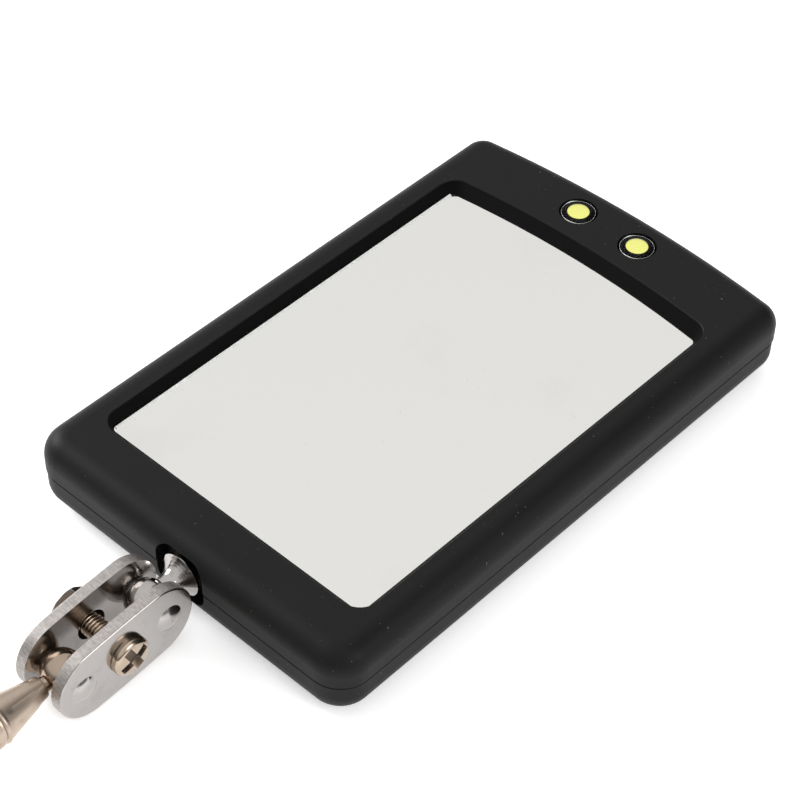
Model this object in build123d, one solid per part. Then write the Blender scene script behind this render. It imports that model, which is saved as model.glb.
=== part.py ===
from build123d import *
import math
import os

# Telescoping inspection mirror, millimetres.
# +Z is up from the bench, +Y runs from the grip to the lit mirror head,
# and the origin lies on the bench under the middle of the collapsed tool.
# The head is drawn with its back on z = 0; every part is lifted by HEAD_LIFT when written.

# --- driving dimensions: head ---
HEAD_WIDTH = 54.0
HEAD_LENGTH = 86.4
END_CROWN = 2.0            # outward bulge of the lamp end
NEAR_CORNER_R = 4.4
FAR_CORNER_R = 3.2
FRONT_DEPTH = 5.2          # front shell, parting line to face
REAR_DEPTH = 5.35          # rear shell, bench to parting line
FRONT_EDGE_R = 3.05
REAR_EDGE_R = 3.2
FACE_THICKNESS = 1.55
WALL = 1.8
REAR_FLOOR = 2.0
REAR_INSET = 0.1
PARTING_CHAMFER = 0.22     # on both shells, makes the parting groove
LIP_HEIGHT = 1.2
LIP_THICKNESS = 0.8
LIP_GAP = 0.1

WINDOW_WIDTH = 45.3
WINDOW_NEAR_MARGIN = 7.7
WINDOW_LENGTH = 66.2       # along the straight sides
WINDOW_CROWN = 1.5
WINDOW_CORNER_R = 3.0     # at the face
WINDOW_FOOT_R = 0.7        # at the glass
WINDOW_SIDE_SLOPE = 1.2    # how far the window walls lean in by the glass
WINDOW_END_SLOPE = 1.8

GLASS_WIDTH = 48.6
GLASS_MARGIN = 6.7
GLASS_LENGTH = 68.6
GLASS_THICKNESS = 1.8
PAD_THICKNESS = 0.6

LAMP_HOLE_R = 2.7
LAMP_SPACING = 10.3
LAMP_FROM_WALL = 80.1
LENS_R = 2.45
LENS_FLANGE_R = 2.85
LENS_FLANGE_HEIGHT = 0.8
LENS_DOME_HEIGHT = 0.55
LENS_PROUD = 0.25
CHIP_R = 1.7
CHIP_HEIGHT = 3.95
BOARD_SIZE = (26.0, 6.2, 1.0)
BOARD_DROP = 2.9           # board's top below the glass's face
RESISTOR_SIZE = (1.6, 3.2, 0.6)

GLASS_CORNER_R = 1.5
GLASS_STOP = (40.0, 0.8, 2.4)      # rib that holds the glass's far edge
GLASS_STOP_GAP = 0.6
PAD_MARGIN = (6.0, 8.0)

CELL_R = 10.0
CELL_HEIGHT = 1.6
CELL_STEP = 0.25           # height of the smaller pole below the can
CELL_POLE_INSET = 1.2
CELL_CLEARANCE = 0.25
WELL_FLOOR = 1.5
WELL_DROP = 0.9            # well's rim below the parting line
CONTACT_TOP_SIZE = (5.0, 20.0, 0.3)
CONTACT_SIDE_SIZE = (4.0, 0.25, 2.3)
CONTACT_SLOT = (4.3, 0.8)
STACK_GAP = 0.15           # between the door and the lower cell
CELL_FROM_WALL = 57.0
WELL_WALL = 1.0
DOOR_WIDTH = 24.4
DOOR_FROM_WALL = 44.0
DOOR_THICKNESS = 1.2
DOOR_GAP = 0.1
RIDGE_SIZE = (12.0, 0.7, 0.35)
RIDGE_PITCH = 1.6
RIDGE_START = 6.0
RIDGE_COUNT = 4
TONGUE = (0.8, 0.6)        # reach and thickness of the door's side tongues

SWITCH_FROM_WALL = 24.0
SWITCH_CASE = (5.6, 11.0, 2.6)
SWITCH_RECESS = (9.0, 14.0, 0.9)
SWITCH_TRAVEL = 3.0
SWITCH_SLOT_DEPTH = 1.2
SLIDER_PAD = (7.0, 6.4, 0.75)
SLIDER_STEM = (2.2, 2.0)
SLIDER_GROOVE = (0.5, 0.3)         # width and depth
SLIDER_GROOVE_PITCH = 1.2
SLOT_CLEARANCE = 0.4

CASE_SCREW_R = 1.0
CASE_SCREW_HEAD_R = 1.9
CASE_SCREW_HEAD_HEIGHT = 1.1
CASE_SCREW_SINK = 0.5
CASE_SCREW_LENGTH = 6.4
CASE_RECESS = (2.2, 0.45, 0.6)
PILOT_SHRINK = 0.2
PILOT_DEPTH = 3.0
CASE_BOSS_R = 2.1
CASE_SCREW_X = 22.3
CASE_SCREW_NEAR = 4.4
CASE_SCREW_FAR = 80.3

# --- driving dimensions: ball joints and link ---
BALL_R = 2.8
BALL_GAP = 0.05
HEAD_BALL_REACH = 5.3      # head ball centre in front of the housing wall
STUD_ABOVE_PARTING = 0.4
HEAD_LIFT = 0.6            # the head's back stands this far off the bench
LINK_SPAN = 13.4           # ball centre to ball centre
LINK_TILT = 5.0            # degrees, the link drops from head to rod
PLATE_LENGTH = 20.8
PLATE_HEIGHT = 10.5
PLATE_END_R = 5.15
PLATE_THICKNESS = 1.6
PLATE_OUTER_X = 3.95
PLATE_EDGE_R = 0.2
DOME_R = 1.85
DOME_HEIGHT = 0.6
CLAMP_SCREW_R = 1.5
CLAMP_HEAD_R = 2.65
CLAMP_HEAD_HEIGHT = 1.4
CLAMP_HEAD_EDGE_R = 0.65
CLAMP_RECESS = (4.0, 0.9, 0.95)
CLAMP_HEAD_TURN = 20.0     # degrees the cross sits round from the link's length
CLAMP_NUT_TURN = 12.0
CLAMP_NUT_FLATS = 5.5
CLAMP_NUT_HEIGHT = 2.4
FAR_HOLE_R = 2.1
SCREW_TAIL = 0.9

NOTCH_WIDTH = 8.1
NOTCH_TOP = 3.9            # above the parting line
NOTCH_BOTTOM = 3.1         # below it
NOTCH_R = 2.2
STUD_NECK_R = 1.4
STUD_FLARE_R = 3.0
STUD_FLARE_REACH = 5.5     # ball centre to the flare's rim
STUD_FLARE_CURVE = 3.0     # power of the flare's curve
STUD_JOURNAL_R = 2.0
STUD_COLLAR_R = 3.2
BEARING_START = 1.9
BEARING_LENGTH = 2.6
COLLAR_LENGTH = 1.1
BEARING_WIDTH = 9.0

# --- driving dimensions: telescoping rod, distances back from the rod ball ---
TUBE_R = [3.5, 2.9, 2.3, 1.7]      # outer radii, handle tube first
TUBE_WALL = 0.3
TIP_ROD_R = 1.1
RUN_GAP = 0.05
LIP_LENGTH = 1.2
STAGGER = 0.8
TUBE_FRONT = 19.4
TUBE_BACK = [145.0, 136.6, 129.8, 123.0]
TIP_ROD_BACK = 117.0
SLEEVE_LENGTH = 8.0
SLEEVE_WALL = 0.25
TAIL_LENGTH = 0.5
CONE_FRONT = 3.1
CONE_FRONT_R = 1.35
CONE_BACK = 10.15
FERRULE_R = 2.95
FERRULE_BACK = 16.5
STUD_SHANK_R = 1.0
SHANK_HEAD_R = 1.6
SHANK_HEAD_LENGTH = 1.0
SHANK_BACK = 8.2
GROOVE_DEPTH = 0.3
TIP_ROD_FRONT = 10.0
SEAM_SIZE = (0.24, 0.16)   # depth and width of the cone's rolled seam
SEAM_TURN = 28.0           # degrees round the rod
SLEEVE_SLOT = 0.5

GRIP_FRONT = 58.0
GRIP_BACK = 146.0
GRIP_RIB_PITCH = 4.0
GRIP_RIB_DEPTH = 0.45
GRIP_PLAIN_END = 7.0
CAP_PLUG_LENGTH = 5.0
CAP_BACK = 151.0
CAP_R = 4.3

# --- places worked out from the sizes ---
PARTING_Z = REAR_DEPTH
FACE_Z = PARTING_Z + FRONT_DEPTH
GLASS_Z = FACE_Z - FACE_THICKNESS
STUD_Z = PARTING_Z + STUD_ABOVE_PARTING
ROD_Z = STUD_Z - LINK_SPAN * math.sin(math.radians(LINK_TILT))
GRIP_R = ROD_Z + HEAD_LIFT
HEAD_REACH = LINK_SPAN * math.cos(math.radians(LINK_TILT)) + HEAD_BALL_REACH
ROD_BALL_Y = (CAP_BACK - HEAD_REACH - HEAD_LENGTH) / 2
WALL_Y = ROD_BALL_Y + HEAD_REACH
HEAD_BALL_Y = WALL_Y - HEAD_BALL_REACH
LINK_Y = (ROD_BALL_Y + HEAD_BALL_Y) / 2
LINK_Z = (ROD_Z + STUD_Z) / 2
LAMP_X = LAMP_SPACING / 2
BOARD_Z = GLASS_Z - BOARD_DROP
PLATE_INNER_X = PLATE_OUTER_X - PLATE_THICKNESS

LOW = (Align.CENTER, Align.CENTER, Align.MIN)
HIGH = (Align.CENTER, Align.CENTER, Align.MAX)


def head_outline(inset, near_r, far_r):
    """Plan outline of the housing, its near wall on y = inset, pulled in all round."""
    half = HEAD_WIDTH / 2 - inset
    far = HEAD_LENGTH - END_CROWN - inset
    edges = [
        Line((-half, inset), (half, inset)),
        Line((half, inset), (half, far)),
        ThreePointArc((half, far), (0, far + END_CROWN), (-half, far)),
        Line((-half, far), (-half, inset)),
    ]
    face = make_face(Curve() + edges)
    near = face.vertices().group_by(Axis.Y)[0]
    face = fillet(near, near_r)
    corners = [v for v in face.vertices() if v.Y > far - 1 and abs(abs(v.X) - half) < 0.01]
    return fillet(corners, far_r)


def head_slab(inset, bottom, top, corner_drop=0.0):
    """A slab of the head's outline between two heights above the bench."""
    face = head_outline(inset, NEAR_CORNER_R - corner_drop, FAR_CORNER_R - corner_drop)
    return Pos(0, WALL_Y, bottom) * extrude(face, top - bottom)


def window_face(side, end, height, corner_r):
    """The window's outline, leaning in by side and end, at one height."""
    half = WINDOW_WIDTH / 2 - side
    near = WINDOW_NEAR_MARGIN + side
    far = WINDOW_NEAR_MARGIN + WINDOW_LENGTH - end
    edges = [
        Line((-half, near), (half, near)),
        Line((half, near), (half, far)),
        ThreePointArc((half, far), (0, far + WINDOW_CROWN), (-half, far)),
        Line((-half, far), (-half, near)),
    ]
    face = make_face(Curve() + edges)
    return Pos(0, WALL_Y, height) * fillet(face.vertices(), corner_r)


def box(size, centre, align=LOW):
    return Pos(*centre) * Box(*size, align=align)


def post(radius, height, centre, align=LOW):
    return Pos(*centre) * Cylinder(radius, height, align=align)


def turned(points, y, z):
    """A solid turned about the tool's long axis from (distance along y, radius) points."""
    corners = [(r, d) for k, (d, r) in enumerate(points) if (d, r) != points[k - 1]]
    profile = make_face(Polyline(*corners, close=True))
    return Pos(0, y, z) * revolve(profile, Axis.Y)


def dome(radius, height, root):
    """A spherical cap along +Z whose rim is at z = 0, with a short plug below to root it."""
    cap_r = (radius ** 2 + height ** 2) / (2 * height)
    half_turn = math.asin(radius / cap_r) / 2
    middle = (cap_r * math.sin(half_turn), height - cap_r + cap_r * math.cos(half_turn))
    edges = [
        Line((0, -root), (radius, -root)),
        Line((radius, -root), (radius, 0)),
        ThreePointArc((radius, 0), middle, (0, height)),
        Line((0, height), (0, -root)),
    ]
    return Rot(90, 0, 0) * revolve(make_face(Curve() + edges), Axis.Y)


def rod_turned(points):
    """The same, with distances measured back from the rod ball."""
    return turned([(-d, r) for d, r in points], ROD_BALL_Y, ROD_Z)


def notch():
    """The opening in the near wall that the head stud comes out of."""
    height = NOTCH_TOP + NOTCH_BOTTOM
    mouth = RectangleRounded(NOTCH_WIDTH, height, NOTCH_R)
    centre_z = PARTING_Z + (NOTCH_TOP - NOTCH_BOTTOM) / 2
    return Pos(0, WALL_Y, centre_z) * extrude(Plane.XZ * mouth, BEARING_START, both=True)


def stud_passage():
    """Bearing bore for the stud's journal and the pocket for its collar."""
    start = BEARING_START + BEARING_LENGTH
    end = start + COLLAR_LENGTH + 0.5
    bore_r = STUD_JOURNAL_R + RUN_GAP
    pocket_r = STUD_COLLAR_R + 0.3
    bore = turned([(0, 0), (0, bore_r), (start + 0.1, bore_r), (start + 0.1, 0)], WALL_Y, STUD_Z)
    pocket = turned([(start, 0), (start, pocket_r), (end, pocket_r), (end, 0)], WALL_Y, STUD_Z)
    return bore + pocket


def bearing_block(bottom, top):
    """One shell's half of the block that carries the head stud's journal."""
    length = BEARING_LENGTH + COLLAR_LENGTH + 0.6
    return box((BEARING_WIDTH, length, top - bottom), (0, WALL_Y + WALL - 0.2 + length / 2, bottom))


def case_screw_places():
    return [(side * CASE_SCREW_X, WALL_Y + y) for side in (-1, 1) for y in (CASE_SCREW_NEAR, CASE_SCREW_FAR)]


def front_bezel():
    body = head_slab(0, PARTING_Z, FACE_Z)
    body = fillet(body.faces().sort_by(Axis.Z)[-1].edges(), FRONT_EDGE_R)
    body = chamfer(body.faces().sort_by(Axis.Z)[0].edges(), PARTING_CHAMFER)
    body -= head_slab(WALL, PARTING_Z, GLASS_Z, WALL * 0.7)
    body += bearing_block(PARTING_Z, GLASS_Z)
    for x, y in case_screw_places():
        body += post(CASE_BOSS_R, GLASS_Z - PARTING_Z, (x, y, PARTING_Z))
        body -= post(CASE_SCREW_R - PILOT_SHRINK, PILOT_DEPTH, (x, y, PARTING_Z))
    rib_y = WALL_Y + GLASS_MARGIN + GLASS_LENGTH + GLASS_STOP_GAP
    body += box(GLASS_STOP, (0, rib_y, GLASS_Z), HIGH)
    body -= loft([window_face(0, 0, FACE_Z + 0.01, WINDOW_CORNER_R),
                  window_face(WINDOW_SIDE_SLOPE, WINDOW_END_SLOPE, GLASS_Z - 0.01, WINDOW_FOOT_R)])
    for side in (-1, 1):
        body -= post(LAMP_HOLE_R, 4.0, (side * LAMP_X, WALL_Y + LAMP_FROM_WALL, FACE_Z + 1), HIGH)
    body -= notch()
    return body - stud_passage()


def rear_shell():
    """The rear shell's closed outer form."""
    body = head_slab(REAR_INSET, 0, PARTING_Z)
    body = fillet(body.faces().sort_by(Axis.Z)[0].edges(), REAR_EDGE_R)
    return chamfer(body.faces().sort_by(Axis.Z)[-1].edges(), PARTING_CHAMFER)


def door_blank(gap, reach):
    """The battery door's plate and side tongues, with its fit gap and its reach past the end wall."""
    width = DOOR_WIDTH - 2 * gap
    start = DOOR_FROM_WALL + gap
    length = HEAD_LENGTH + reach - start
    centre_y = WALL_Y + start + length / 2
    plate = box((width, length, DOOR_THICKNESS - gap), (0, centre_y, 0))
    tongue_z = DOOR_THICKNESS - TONGUE[1] + gap
    tongues = box((width + 2 * TONGUE[0], length, TONGUE[1] - 2 * gap), (0, centre_y, tongue_z))
    return plate + tongues


def stem_slot(depth):
    """Size of the slot that the slider's stem runs in."""
    return (SLIDER_STEM[0] + SLOT_CLEARANCE, SLIDER_STEM[1] + SWITCH_TRAVEL + SLOT_CLEARANCE, depth)


def rear_cover():
    shell = rear_shell()
    body = shell - head_slab(WALL, REAR_FLOOR, PARTING_Z, WALL * 0.7)
    lip_inset = WALL + LIP_GAP
    lip_inner = lip_inset + LIP_THICKNESS
    lip = head_slab(lip_inset, REAR_FLOOR, PARTING_Z + LIP_HEIGHT, WALL * 0.75)
    lip -= head_slab(lip_inner, REAR_FLOOR, PARTING_Z + LIP_HEIGHT, WALL)
    for x, y in case_screw_places():
        lip -= post(CASE_BOSS_R + 0.2, LIP_HEIGHT + 1, (x, y, PARTING_Z))
    lip -= box((BEARING_WIDTH + 1, 8, LIP_HEIGHT + 1), (0, WALL_Y + 4, PARTING_Z))
    body += bearing_block(REAR_FLOOR - 0.5, PARTING_Z)
    body += lip
    well_y = WALL_Y + CELL_FROM_WALL
    well_r = CELL_R + CELL_CLEARANCE
    body += post(well_r + WELL_WALL, PARTING_Z - WELL_DROP - WELL_FLOOR, (0, well_y, WELL_FLOOR))
    body -= post(well_r, PARTING_Z, (0, well_y, 0.5))
    body -= box((*CONTACT_SLOT, PARTING_Z), (0, well_y - CELL_R - 0.1, DOOR_THICKNESS + 0.7))
    body -= door_blank(0, 2)
    for x, y in case_screw_places():
        body += post(CASE_BOSS_R, PARTING_Z - WELL_FLOOR, (x, y, WELL_FLOOR))
        body -= post(CASE_SCREW_R + 0.15, PARTING_Z + 1, (x, y, -1))
        body -= post(CASE_SCREW_HEAD_R + 0.15, 1.6, (x, y, 0))
    switch_y = WALL_Y + SWITCH_FROM_WALL
    body -= box(SWITCH_RECESS, (0, switch_y, 0))
    body -= box(stem_slot(REAR_FLOOR + 1), (0, switch_y, 0))
    body -= notch()
    return body - stud_passage()


def battery_door():
    door = (rear_shell() & door_blank(DOOR_GAP, 0)).solid()
    for step in range(RIDGE_COUNT):
        ridge_y = WALL_Y + DOOR_FROM_WALL + RIDGE_START + RIDGE_PITCH * step
        door -= box(RIDGE_SIZE, (0, ridge_y, 0))
    return door


def mirror_glass():
    centre_y = WALL_Y + GLASS_MARGIN + GLASS_LENGTH / 2
    plate = box((GLASS_WIDTH, GLASS_LENGTH, GLASS_THICKNESS), (0, centre_y, GLASS_Z), HIGH)
    return fillet(plate.edges().filter_by(Axis.Z), GLASS_CORNER_R)


def mirror_pad():
    centre_y = WALL_Y + GLASS_MARGIN + GLASS_LENGTH / 2
    top = GLASS_Z - GLASS_THICKNESS
    size = (GLASS_WIDTH - PAD_MARGIN[0], GLASS_LENGTH - PAD_MARGIN[1], PAD_THICKNESS)
    return box(size, (0, centre_y, top), HIGH)


def lamp_lens(side):
    base_z = BOARD_Z
    shoulder = FACE_Z + LENS_PROUD - LENS_DOME_HEIGHT - base_z
    place = (side * LAMP_X, WALL_Y + LAMP_FROM_WALL, base_z)
    body = post(LENS_FLANGE_R, LENS_FLANGE_HEIGHT, place)
    body += Pos(place[0], place[1], base_z + shoulder) * dome(LENS_R, LENS_DOME_HEIGHT, shoulder)
    return body - post(CHIP_R, CHIP_HEIGHT, place)


def lamp_chip(side):
    """Reflector post with the phosphor disc on top, inside the lens."""
    return post(CHIP_R, CHIP_HEIGHT, (side * LAMP_X, WALL_Y + LAMP_FROM_WALL, BOARD_Z))


def circuit_board():
    return box(BOARD_SIZE, (0, WALL_Y + LAMP_FROM_WALL - 0.1, BOARD_Z), HIGH)


def resistor():
    return box(RESISTOR_SIZE, (0, WALL_Y + LAMP_FROM_WALL, BOARD_Z))


def switch_case():
    y = WALL_Y + SWITCH_FROM_WALL
    case = box(SWITCH_CASE, (0, y, REAR_FLOOR))
    return case - box(stem_slot(SWITCH_SLOT_DEPTH), (0, y, REAR_FLOOR))


def switch_slider():
    """Ribbed pad with a stem, shown at the off end of its slot."""
    y = WALL_Y + SWITCH_FROM_WALL - SWITCH_TRAVEL / 2
    recess_top = SWITCH_RECESS[2]
    slider = box(SLIDER_PAD, (0, y, recess_top - 0.05), HIGH)
    slider += box((*SLIDER_STEM, REAR_FLOOR + 0.9 - recess_top + 0.05), (0, y, recess_top - 0.05))
    for step in (-2, -1, 0, 1, 2):
        groove_y = y + SLIDER_GROOVE_PITCH * step
        slider -= box((SLIDER_PAD[0], *SLIDER_GROOVE), (0, groove_y, recess_top - 0.05 - SLIDER_PAD[2]))
    return slider


def cell(level):
    bottom = DOOR_THICKNESS + STACK_GAP + level * CELL_HEIGHT
    place = (0, WALL_Y + CELL_FROM_WALL, bottom)
    can = post(CELL_R, CELL_HEIGHT - CELL_STEP, (place[0], place[1], bottom + CELL_STEP))
    return can + post(CELL_R - CELL_POLE_INSET, CELL_STEP, place)


def contact_top():
    """Spring strip that presses down on the upper cell."""
    z = DOOR_THICKNESS + STACK_GAP + 2 * CELL_HEIGHT
    return box(CONTACT_TOP_SIZE, (0, WALL_Y + CELL_FROM_WALL + 1.8, z))


def contact_side():
    """Strip that stands in the well's wall and touches the cells' rims."""
    y = WALL_Y + CELL_FROM_WALL - CELL_R
    return box(CONTACT_SIDE_SIZE, (0, y - 0.2, DOOR_THICKNESS + 0.9))


def case_screws():
    screws = []
    for x, y in case_screw_places():
        screw = post(CASE_SCREW_HEAD_R, CASE_SCREW_HEAD_HEIGHT, (x, y, CASE_SCREW_SINK))
        screw += post(CASE_SCREW_R - PILOT_SHRINK, CASE_SCREW_LENGTH, (x, y, WELL_FLOOR))
        for turn in (0, 90):
            screw -= Pos(x, y, CASE_SCREW_SINK) * Rot(0, 0, turn) * Box(*CASE_RECESS, align=LOW)
        screws.append(screw)
    return Compound(children=screws)


def head_stud():
    """Ball, neck, trumpet flare, journal and the collar that keeps it in the housing."""
    flare_start = BALL_R - 0.2
    flare_back = STUD_FLARE_REACH
    steps = [k / 12 for k in range(13)]
    flare = [(flare_start + (flare_back - flare_start) * t,
              STUD_NECK_R + (STUD_FLARE_R - STUD_NECK_R) * t ** STUD_FLARE_CURVE) for t in steps]
    pocket_start = HEAD_BALL_REACH + BEARING_START + BEARING_LENGTH
    profile = [(0, 0), (0, STUD_NECK_R), *flare, (flare_back + 0.3, STUD_FLARE_R),
               (flare_back + 0.7, STUD_JOURNAL_R), (pocket_start + 0.15, STUD_JOURNAL_R),
               (pocket_start + 0.15, STUD_COLLAR_R), (pocket_start + 0.15 + COLLAR_LENGTH, STUD_COLLAR_R),
               (pocket_start + 0.15 + COLLAR_LENGTH, 0)]
    stud = turned(profile, HEAD_BALL_Y, STUD_Z)
    return stud + Pos(0, HEAD_BALL_Y, STUD_Z) * Sphere(BALL_R)


def plate_outline():
    """Link plate outline in its own plane, long axis first, with slightly bowed sides."""
    end = PLATE_LENGTH / 2
    reach = end - PLATE_END_R
    bow = PLATE_HEIGHT / 2
    right = ThreePointArc((reach, -PLATE_END_R), (end, 0), (reach, PLATE_END_R))
    left = ThreePointArc((-reach, PLATE_END_R), (-end, 0), (-reach, -PLATE_END_R))
    top = ThreePointArc((reach, PLATE_END_R), (0, bow), (-reach, PLATE_END_R))
    bottom = ThreePointArc((-reach, -PLATE_END_R), (0, -bow), (reach, -PLATE_END_R))
    return make_face(Curve() + [right, top, left, bottom])


def in_link(shape):
    """Turn a shape made round the link's centre to the link's rest tilt and put it in place."""
    return Pos(0, LINK_Y, LINK_Z) * Rot(LINK_TILT, 0, 0) * shape


def clamp_plate(side, hole_r):
    plate = extrude(Plane.YZ * plate_outline(), PLATE_THICKNESS)
    plate = fillet(plate.faces().sort_by(Axis.X)[-1].edges(), PLATE_EDGE_R)
    plate = Pos(PLATE_INNER_X, 0, 0) * plate
    for end in (-1, 1):
        y = end * LINK_SPAN / 2
        plate += Pos(PLATE_OUTER_X, y, 0) * Rot(0, 90, 0) * dome(DOME_R, DOME_HEIGHT, 0.3)
        plate -= Pos(0, y, 0) * Rot(0, 90, 0) * Sphere(BALL_R + BALL_GAP)
    plate -= Rot(0, 90, 0) * Cylinder(hole_r, 20)
    if side < 0:
        plate = mirror(plate, about=Plane.YZ)
    return in_link(plate)


def clamp_screw():
    """Pan-head screw with a wide cross recess, its head on the +X plate."""
    head = Cylinder(CLAMP_HEAD_R, CLAMP_HEAD_HEIGHT, align=LOW)
    head = fillet(head.edges().sort_by(Axis.Z)[-1], CLAMP_HEAD_EDGE_R)
    for turn in (0, 90):
        head -= Pos(0, 0, CLAMP_HEAD_HEIGHT + 0.1) * Rot(0, 0, turn) * Box(*CLAMP_RECESS, align=HIGH)
    length = 2 * PLATE_OUTER_X + CLAMP_NUT_HEIGHT + SCREW_TAIL
    shank = Cylinder(CLAMP_SCREW_R, length, align=HIGH)
    shank = chamfer(shank.edges().sort_by(Axis.Z)[0], 0.3)
    return in_link(Pos(PLATE_OUTER_X, 0, 0) * Rot(0, 90, 0) * Rot(0, 0, CLAMP_HEAD_TURN) * (head + shank))


def clamp_nut():
    nut = extrude(RegularPolygon(CLAMP_NUT_FLATS / 2, 6, major_radius=False), CLAMP_NUT_HEIGHT)
    corner_r = CLAMP_NUT_FLATS / math.sqrt(3)
    trim = Cylinder(corner_r, CLAMP_NUT_HEIGHT, align=LOW)
    nut &= chamfer(trim.edges(), 0.35)
    nut -= Cylinder(CLAMP_SCREW_R + RUN_GAP, 3 * CLAMP_NUT_HEIGHT)
    return in_link(Pos(-PLATE_OUTER_X, 0, 0) * Rot(0, -90, 0) * Rot(0, 0, CLAMP_NUT_TURN) * nut)


def rod_stud():
    head_front = SHANK_BACK - SHANK_HEAD_LENGTH
    stud = rod_turned([(0, 0), (0, STUD_SHANK_R), (head_front, STUD_SHANK_R), (head_front, SHANK_HEAD_R),
                       (SHANK_BACK, SHANK_HEAD_R), (SHANK_BACK, 0)])
    return stud + Pos(0, ROD_BALL_Y, ROD_Z) * Sphere(BALL_R)


def tip_ferrule():
    """Swaged cone that grips the stud's shank, with a rolled bead and groove at its base."""
    bore = STUD_SHANK_R + RUN_GAP
    pocket = SHANK_HEAD_R + 0.1
    ferrule = rod_turned([
        (CONE_FRONT, bore), (CONE_FRONT, CONE_FRONT_R), (CONE_BACK - 0.3, FERRULE_R - 0.02),
        (CONE_BACK, FERRULE_R + 0.05), (CONE_BACK + 0.25, FERRULE_R - 0.02),
        (CONE_BACK + 0.4, FERRULE_R - GROOVE_DEPTH), (CONE_BACK + 0.65, FERRULE_R - GROOVE_DEPTH),
        (CONE_BACK + 0.8, FERRULE_R), (FERRULE_BACK - 0.3, FERRULE_R),
        (FERRULE_BACK, FERRULE_R - 0.3), (FERRULE_BACK, TIP_ROD_R), (TIP_ROD_FRONT, TIP_ROD_R),
        (TIP_ROD_FRONT, 0), (SHANK_BACK + 0.15, 0), (SHANK_BACK + 0.15, pocket), (SHANK_BACK - 1.15, pocket),
        (SHANK_BACK - 1.15, bore)])
    slope = math.degrees(math.atan((FERRULE_R - CONE_FRONT_R) / (CONE_BACK - CONE_FRONT)))
    length = CONE_BACK - CONE_FRONT
    middle_r = (FERRULE_R + CONE_FRONT_R) / 2
    slit = Pos(middle_r, 0, 0) * Rot(0, 0, slope) * Box(SEAM_SIZE[0], length, SEAM_SIZE[1])
    place = Pos(0, ROD_BALL_Y - CONE_FRONT - length / 2, ROD_Z)
    return ferrule - place * Rot(0, SEAM_TURN, 0) * slit


def tube(index):
    """One hollow section: rolled-in lip at the front, flared tail at the back."""
    outer = TUBE_R[index]
    inner = outer - TUBE_WALL
    front = TUBE_FRONT - STAGGER * index
    back = TUBE_BACK[index]
    follower = (TUBE_R + [TIP_ROD_R])[index + 1]
    tail_r = outer if index == 0 else outer + SLEEVE_WALL
    return rod_turned([
        (front, follower + RUN_GAP), (front, outer - 0.3), (front + 0.3, outer), (back - TAIL_LENGTH, outer),
        (back - TAIL_LENGTH, tail_r), (back, tail_r), (back, inner), (front + LIP_LENGTH, inner),
        (front + LIP_LENGTH, follower + RUN_GAP)])


def tip_rod():
    tail_r = TIP_ROD_R + SLEEVE_WALL
    return rod_turned([
        (TIP_ROD_FRONT, 0), (TIP_ROD_FRONT, TIP_ROD_R), (TIP_ROD_BACK - TAIL_LENGTH, TIP_ROD_R),
        (TIP_ROD_BACK - TAIL_LENGTH, tail_r), (TIP_ROD_BACK, tail_r), (TIP_ROD_BACK, 0)])


def friction_sleeve(radius, back):
    """Split brass sleeve round a section's tail that rubs inside the next section out."""
    end = back - TAIL_LENGTH
    sleeve = rod_turned([(end - SLEEVE_LENGTH, radius), (end - SLEEVE_LENGTH, radius + SLEEVE_WALL),
                         (end, radius + SLEEVE_WALL), (end, radius)])
    slot = box((SLEEVE_SLOT, SLEEVE_LENGTH + 1, 12), (0, ROD_BALL_Y - end + SLEEVE_LENGTH / 2, ROD_Z))
    return sleeve - slot


def grip_sleeve():
    points = [(GRIP_FRONT, TUBE_R[0]), (GRIP_FRONT, GRIP_R - 1.0),
              (GRIP_FRONT + 2, GRIP_R), (GRIP_FRONT + 6, GRIP_R)]
    count = int((GRIP_BACK - GRIP_FRONT - 2 * GRIP_PLAIN_END) / GRIP_RIB_PITCH)
    floor = GRIP_R - GRIP_RIB_DEPTH
    for step in range(count):
        start = GRIP_FRONT + GRIP_PLAIN_END + step * GRIP_RIB_PITCH
        points += [(start, GRIP_R), (start + 0.4, floor), (start + 1.2, floor), (start + 1.6, GRIP_R)]
    points += [(GRIP_BACK - 0.6, GRIP_R), (GRIP_BACK, GRIP_R - 0.6), (GRIP_BACK, TUBE_R[0])]
    return rod_turned(points)


def end_cap():
    plug_r = TUBE_R[0] - TUBE_WALL
    plug_front = TUBE_BACK[0] - CAP_PLUG_LENGTH
    return rod_turned([
        (plug_front, 0), (plug_front, plug_r), (TUBE_BACK[0], plug_r), (TUBE_BACK[0], TUBE_R[0]),
        (GRIP_BACK, TUBE_R[0]), (GRIP_BACK, CAP_R), (CAP_BACK - 2.2, CAP_R), (CAP_BACK - 1.2, CAP_R - 0.5),
        (CAP_BACK - 0.4, CAP_R - 1.6), (CAP_BACK, CAP_R - 3.0), (CAP_BACK, 0)])


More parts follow.
